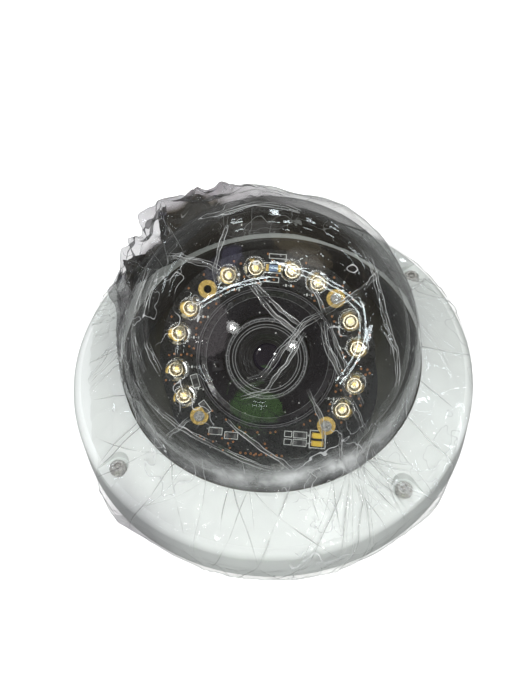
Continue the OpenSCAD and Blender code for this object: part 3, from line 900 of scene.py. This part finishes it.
def ribbon(shape, sheet, path, width, rise=0.06, sink=0.05):
    """A thin three-sided thread along a path of (azimuth, distance) pairs, pointed at both ends."""
    pts = []
    for az, s in path:
        p, n = sheet.at(az, s), sheet.normal(az, s)
        if p is None or n is None:
            break
        if n.z < 0 and p.z > 30:
            n = -n
        pts.append((p, n))
    if len(pts) < 4:
        return
    verts, faces = [], []
    last = len(pts) - 1
    for k, (p, n) in enumerate(pts):
        t = (pts[min(k + 1, last)][0] - pts[max(k - 1, 0)][0]).normalized()
        side = t.cross(n).normalized()
        grow = 0.15 + 0.85 * min(1.0, 5.0 * min(k, last - k) / last)
        w = width * grow / 2
        verts += [tuple(p - side * w - n * sink), tuple(p + side * w - n * sink), tuple(p + n * rise * grow)]
    for k in range(last):
        for q in range(3):
            r = (q + 1) % 3
            faces.append((3 * k + q, 3 * k + r, 3 * k + 3 + r, 3 * k + 3 + q))
    faces.append((2, 1, 0))
    faces.append((3 * last, 3 * last + 1, 3 * last + 2))
    shape.add(verts, faces)


def bubble_path(path, offset, rng):
    """A crease's points as (azimuth, distance), shifted sideways by millimetres and a little unsteady."""
    knots = [Vector(direction(*p)) for p in path]
    out = []
    phase, beat = rng.uniform(0, 6.3), rng.uniform(0.35, 0.8)
    gone = 0.0
    for a, b in zip(knots, knots[1:]):
        steps = max(3, int(a.angle(b) * FILM_R / 0.5))
        side = a.cross(b).normalized()
        for k in range(steps):
            d = a.slerp(b, k / steps)
            gone += 0.5
            shift = offset + 0.16 * math.sin(phase + beat * gone) + 0.08 * math.sin(2.7 * beat * gone)
            d = (d + side * (shift / FILM_R)).normalized()
            out.append((math.degrees(math.atan2(d.y, d.x)), FILM_R * math.acos(max(-1.0, min(1.0, d.z)))))
    return out


def film_creases(sheet):
    """Thread-thin fold lines that lie on the film: bright painted highlight lines with dark painted shade
    lines beside them.
    """
    rng = random.Random(31)
    bright, dark = Shape(), Shape()
    for path, height, width in CREASES:
        gap = 0.42 * (0.6 + width)
        ribbon(bright, sheet, bubble_path(path, gap, rng), rng.uniform(0.13, 0.20))
        ribbon(bright, sheet, bubble_path(path, -gap * rng.uniform(0.6, 1.2), rng), rng.uniform(0.09, 0.15))
        ribbon(dark, sheet, bubble_path(path, 0.0, rng), gap * 1.1)
        if height > 0.4:
            ribbon(bright, sheet, bubble_path(path, gap * 2.1, rng), rng.uniform(0.08, 0.12))
    for a0, lean, wide, s0, s1, _, luck in fold_list():
        steps = int((s1 - s0) / 0.5)
        phase = luck * 6.3
        for k, (shape, w) in enumerate(((bright, 0.10 + 0.08 * luck), (dark, 0.14 + 0.16 * luck))):
            if (k == 0 and luck > 0.62) or (k == 1 and luck < 0.35):
                continue
            off = wide * (0.3 + 0.7 * k)
            path = []
            for i in range(steps):
                s = s0 + 0.5 * i
                path.append((a0 + lean * (s - 66) + off + 0.35 * math.sin(phase + 0.35 * s), s))
            ribbon(shape, sheet, path, w)
    names = []
    for name, shape, key in (("film_creases", bright, "crease"), ("film_crease_painted_shade", dark, "painted_shade_crease")):
        shape.make(name, M[key], "cover", "clear_film", matrix=None)
        names.append(name)
    return names


def film_edge(az, total):
    """Distance from the apex to the film's edge: wrapped under at the front, loose on the ring elsewhere."""
    front = smooth(az, -152, -138) * (1 - smooth(az, -44, -30))
    edge = EDGE_S + 1.5 * np.sin(np.radians(az * 3 + 20)) + (total - EDGE_S) * front
    edge += 3.0 * around(az, 100, 40) - 6.0 * around(az, 178, 26)
    ring = [Vector((math.cos(math.radians(a)) * 3, math.sin(math.radians(a)) * 3, 2.0)) for a in az]
    wobble = np.array([noise.fractal(p, 0.8, 2.0, 4) for p in ring])
    return np.minimum(edge + 1.6 * wobble, total)


def film_base(az, edge, n_s, prof, arc):
    """Points and normals of the smooth film, with the azimuth and distance of each."""
    A, U = np.meshgrid(az, np.linspace(0.0, 1.0, n_s + 1)[1:], indexing="ij")
    S = U * edge[:, None]
    near, far = np.clip(S - 0.6, 0, arc[-1]), np.clip(S + 0.6, 0, arc[-1])
    R, Z = (np.interp(S, arc, prof[:, k]) for k in (0, 1))
    dr, dz = (np.interp(far, arc, prof[:, k]) - np.interp(near, arc, prof[:, k]) for k in (0, 1))
    ln = np.hypot(dr, dz)
    nr, nz = -dz / ln, dr / ln
    ca, sa = np.cos(np.radians(A)), np.sin(np.radians(A))
    P = np.stack([R * ca, R * sa, Z], -1).reshape(-1, 3)
    N = np.stack([nr * ca, nr * sa, nz], -1).reshape(-1, 3)
    return P, N, A.ravel(), S.ravel()


def film_lift(P, a, s, total):
    """How far each point stands off the smooth film, with the fields that the tints use as well."""
    on_ring = smooth(s, 60, 68)
    crumple = cells_field(P, 0.16, 2)
    lift = crease_heights(P) * (1 - smooth(s, 70, 76))
    lift += 0.10 * np.abs(noise_field(P, 0.11, 1)) * (1 - on_ring)
    lift += radial_creases(a, s)
    patches = np.clip(0.5 + 1.6 * noise_field(P, 0.07, 3, 2), 0, 1)
    lift += on_ring * patches * 0.4 * crumple ** 6 + on_ring * 0.10 * np.abs(noise_field(P, 0.10, 4, 2))
    side = around(a, 178, 40) * bell(s, 56, 14)
    lift += side * (0.9 * crumple ** 2 + 0.6 * np.abs(noise_field(P, 0.10, 6)))
    lift += 1.1 * bell(s, 66.5, 4.5) * (0.6 + 0.4 * np.sin(np.radians(a * 5)))
    knot = sum(high * around(a, where, wide) for where, high, wide in GATHER)
    knot = np.minimum(knot, 11.5) * (bell(s, 50, 11) + 0.7 * bell(s, 64, 8))
    pleats = 0.75 + 0.35 * np.sin(np.radians(a * 11 + 4.0 * s)) + 0.9 * noise_field(P, 0.09, 8)
    lift += knot * np.clip(pleats + 0.35 * crumple, 0.35, 1.25)
    back = around(a, 72, 44) * bell(s, 46, 13)
    lift += 2.2 * back * np.clip(0.75 + 0.7 * noise_field(P, 0.07, 9), 0.2, 1.4)
    foot = smooth(s, 78, 86) * (1 - smooth(s, total - 3, total))
    belly = around(a, -88, 40) + 0.9 * around(a, -140, 8) + 0.7 * around(a, -45, 7)
    lift += foot * belly * (1.6 + 0.5 * noise_field(P, 0.08, 12))
    tucked = np.clip(1.3 * around(a, 102, 58) * bell(s, 62.8, 4.4), 0, 1)
    lift *= 1 - 0.97 * tucked
    return np.clip(lift, 0.0, MAX_LIFT), knot, pleats, on_ring * crumple


def film_looks(P, a, s, knot, pleats, crumple):
    """The three values that film_shader reads, for each point."""
    # folds: tint of layered film, made darker than the layers give as painted shade at the gather, the sides
    # and the back
    folds = 0.34 * np.clip(knot / 7.0, 0, 1) * (0.75 + 0.35 * np.clip(pleats, 0, 1))
    folds += 0.22 * around(a, 172, 38) * bell(s, 60, 11) + 0.22 * around(a, 12, 30) * bell(s, 60, 8)
    folds += 0.50 * around(a, 84, 34) * bell(s, 52, 9) + 0.4 * around(a, -133, 14) * smooth(s, 74, 84)
    folds = np.clip(folds + 0.03 + 0.05 * crumple, 0, 1)
    # painted reflection: milky band at the foot of the bubble and a few smaller patches, standing in for the
    # ring's reflection
    painted_sheen = 0.55 * around(a, -84, 54) * bell(s, 61.5, 4.2) * (0.85 + 0.3 * noise_field(P, 0.06, 15, 2))
    painted_sheen += 0.12 * around(a, -70, 12) * bell(s, 60, 4) + 0.05 * around(a, 20, 40) * bell(s, 57, 8)
    painted_sheen += 0.13 * around(a, 36, 15) * bell(s, 54, 6)
    # painted shade: darkens the film at the back wherever it is seen from inside
    behind = np.clip(1.35 * around(a, 92, 55), 0, 0.95) * smooth(s, 51, 60) * (1 - smooth(s, 65, 70))
    return {"folds": folds, "painted_sheen": np.clip(painted_sheen, 0, 0.7), "behind": behind}


def make_film():
    prof = film_profile()
    arc = np.concatenate([[0], np.cumsum(np.hypot(*np.diff(prof, axis=0).T))])
    n_az, n_s = ((720, 260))
    az = np.arange(n_az) * 360.0 / n_az - 180.0
    edge = film_edge(az, arc[-1])
    P, N, a, s = film_base(az, edge, n_s, prof, arc)
    lift, knot, pleats, crumple = film_lift(P, a, s, arc[-1])
    P = P + N * lift[:, None]
    P[:, 2] = np.maximum(P[:, 2], MIN_Z)
    verts = [(0.0, 0.0, (prof[0, 1] + 0.02) * MM)] + [tuple(p * MM) for p in P]
    faces = []
    for i in range(n_az):
        p, q = 1 + i * n_s, 1 + (i + 1) % n_az * n_s
        faces.append((0, p, q))
        for k in range(n_s - 1):
            faces.append((p + k, p + k + 1, q + k + 1, q + k))
    film = piece("film_wrap", verts, faces, M["film"], "cover", smooth=True)
    for (name, values), apex in zip(film_looks(P, a, s, knot, pleats, crumple).items(), CLEAR_LOOK):
        attr = film.data.attributes.new(name, "FLOAT", "POINT")
        attr.data.foreach_set("value", np.concatenate([[apex], values]).astype(np.float32))
    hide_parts("protective_film")
    extra = film_creases(FilmSheet(P, edge, n_az, n_s))


make_film()

# ---------------------------------------------------------------- stage and lights


WHITE = (1, 1, 1)
LIGHT_AIM = Vector((0, 0, 0.025))
LIGHT_DISTANCE = 0.8
FLOOR_HALF = 3.0
TUBE_COLOR = (0.86, 0.95, 1.0)

# Lights are placed by azimuth and elevation in degrees
TUBES = {
    "tube_left": ([(169, 39), (162, 52), (148, 63), (122, 71), (83, 73)], 0.020, 20),
    "tube_right": ([(85, 61), (47, 57), (21, 44), (13, 30), (8, 20), (-1, 17), (-13, 14), (-26, 12),
                    (-43, 10)], 0.020, 20),
}  # path, width, radiance
TOP_TUBES = [[(88, 9), (83, 9)], [(81, 18), (77, 18)], [(72, 9), (68, 8)], [(64, 2), (60, 1)],
             [(104, 14), (99, 14)]]
WALL_TUBES = [[(150, 6), (128, 6)], [(-150, 22), (-138, 16)], [(35, 8), (50, 8)], [(-105, 12), (-95, 12)],
              [(-168, 14), (-176, 20)]]
SPOTS = [((-149, 58), 3.0, 70.0), ((-64, 52), 3.6, 80.0), ((-148.6, 58.3), 8.5, 5.0),
         ((-64.4, 52.3), 9.0, 5.5), ((-160, 35), 1.2, 18.0),
         ((-20, 45), 1.0, 14.0)]  # direction, width in degrees, radiance
CARDS = [("green_card", -102, 10, 0.50, 0.36, 0.42, (0.40, 1.0, 0.22)),
         ("brown_card", 60, 40, 0.55, 0.30, 0.30, (1.0, 0.82, 0.55)),
         ("violet_card", 128, 44, 0.40, 0.25, 0.45, (0.62, 0.60, 1.0)),
         ("left_card", -170, 42, 0.62, 0.50, 0.36, (1.0, 0.90, 0.95))]  # direction, size, radiance, colour


def floor():
    """White ground that stays dim to reflections, to bounced light and to rays through the bubble."""
    me = bpy.data.meshes.new("floor")
    k = FLOOR_HALF
    me.from_pydata([(-k, -k, 0), (k, -k, 0), (k, k, 0), (-k, k, 0)], [], [(0, 1, 2, 3)])
    m = Mat("floor_white", (0.93, 0.93, 0.93), 0.9, Specular_IOR_Level=0.0)
    path = m.n.new("ShaderNodeLightPath")
    bounce = m.range(path.outputs["Is Diffuse Ray"], 1.0, 0.2)
    mirror = m.range(path.outputs["Is Glossy Ray"], 1.0, 0.13)
    through = m.range(path.outputs["Transparent Depth"], 1.0, 0.07, 3.0, 5.0)
    level = m.math("MULTIPLY", m.math("MULTIPLY", bounce, mirror), through)
    white = m.ramp(m.noise(4, 2), [(0.3, (0.92, 0.92, 0.92)), (0.7, (0.94, 0.94, 0.94))])
    m.link(m.mix_color(level, (0, 0, 0), white), m.b.inputs["Base Color"])
    m.set(m.b, "Emission Color", (1, 1, 1, 1))
    m.link(m.math("MULTIPLY", level, 0.45), m.b.inputs["Emission Strength"])
    me.materials.append(m.m)
    o = bpy.data.objects.new("floor", me)
    scene.collection.objects.link(o)


def new_light(name, shape, size, size_y, power, color):
    data = bpy.data.lights.new(name, "AREA")
    data.shape = shape
    data.size = size
    data.size_y = size_y
    data.energy = power
    data.color = color
    o = bpy.data.objects.new(name, data)
    scene.collection.objects.link(o)
    return o


def area_light(name, az, el, distance, size, power, size_y=None, color=WHITE):
    """A round light that faces the camera part, or an oval one where size_y is given."""
    o = new_light(name, "ELLIPSE" if size_y else "DISK", size, size_y or size, power, color)
    d = Vector(direction(az, el))
    o.location = LIGHT_AIM + d * distance
    o.rotation_euler = (-d).to_track_quat("-Z", "Y").to_euler()
    return o


def disc_power(radiance, size):
    return radiance * math.pi * math.pi * size * size / 4


def tube_light(name, path, width, radiance):
    """Thin straight lights from one direction of the path to the next, seen only in reflections."""
    for k in range(len(path) - 1):
        a, b = (Vector(direction(*p)) * LIGHT_DISTANCE for p in path[k:k + 2])
        length = (b - a).length
        power = radiance * math.pi * length * width
        o = new_light("%s_%d" % (name, k), "RECTANGLE", length, width, power, TUBE_COLOR)
        mid, x = (a + b) / 2, (b - a).normalized()
        z = mid.normalized()
        z = (z - x * z.dot(x)).normalized()
        facing = Matrix((x, z.cross(x), z)).transposed().to_4x4()
        o.matrix_world = Matrix.Translation(mid + LIGHT_AIM) @ facing
        o.visible_diffuse = False


def world_light():
    """Even dim light: neutral on surfaces, warmer and dimmer in reflections."""
    w = bpy.data.worlds.new("world")
    scene.world = w
    w.use_nodes = True
    n, link = w.node_tree.nodes, w.node_tree.links.new
    reflected = n.new("ShaderNodeLightPath").outputs["Is Glossy Ray"]
    hue, dim = n.new("ShaderNodeMix"), n.new("ShaderNodeMapRange")
    hue.data_type = "RGBA"
    hue.inputs[MIX_A].default_value = (0.82, 0.84, 0.85, 1)
    hue.inputs[MIX_B].default_value = (0.92, 0.80, 0.68, 1)
    dim.inputs["To Min"].default_value = 0.25
    dim.inputs["To Max"].default_value = 0.13
    link(reflected, hue.inputs["Factor"])
    link(reflected, dim.inputs["Value"])
    link(hue.outputs[MIX_OUT], n["Background"].inputs["Color"])
    link(dim.outputs["Result"], n["Background"].inputs["Strength"])


def lights():
    world_light()
    for name, az, el, size, power in (("soft_key", -96, 50, 1.6, 46), ("soft_back", 80, 66, 1.5, 14)):
        area_light(name, az, el, 2.4, size, power).visible_glossy = False
    for name, (path, width, radiance) in TUBES.items():
        tube_light(name, path, width, radiance)
    for k, path in enumerate(TOP_TUBES):
        tube_light("tube_top_%d" % k, path, 0.014, 14)
    for k, path in enumerate(WALL_TUBES):
        tube_light("tube_wall_%d" % k, path, 0.012, 8)
    for k, (where, degrees, radiance) in enumerate(SPOTS):
        size = LIGHT_DISTANCE * math.radians(degrees)
        area_light("spot_%d" % k, *where, LIGHT_DISTANCE, size, disc_power(radiance, size))
    area_light("card", 50, 52, 1.2, 0.55, disc_power(0.55, 0.55))
    for name, az, el, wide, tall, radiance, color in CARDS:
        o = area_light(name, az, el, LIGHT_DISTANCE, wide, radiance * math.pi * wide * tall, tall, color)
        o.visible_diffuse = False
    area_light("back_card", 95, 28, 1.4, 0.6, disc_power(0.35, 0.6))


floor()
lights()
scene.view_settings.view_transform = "Standard"
scene.cycles.transparent_max_bounces = 24
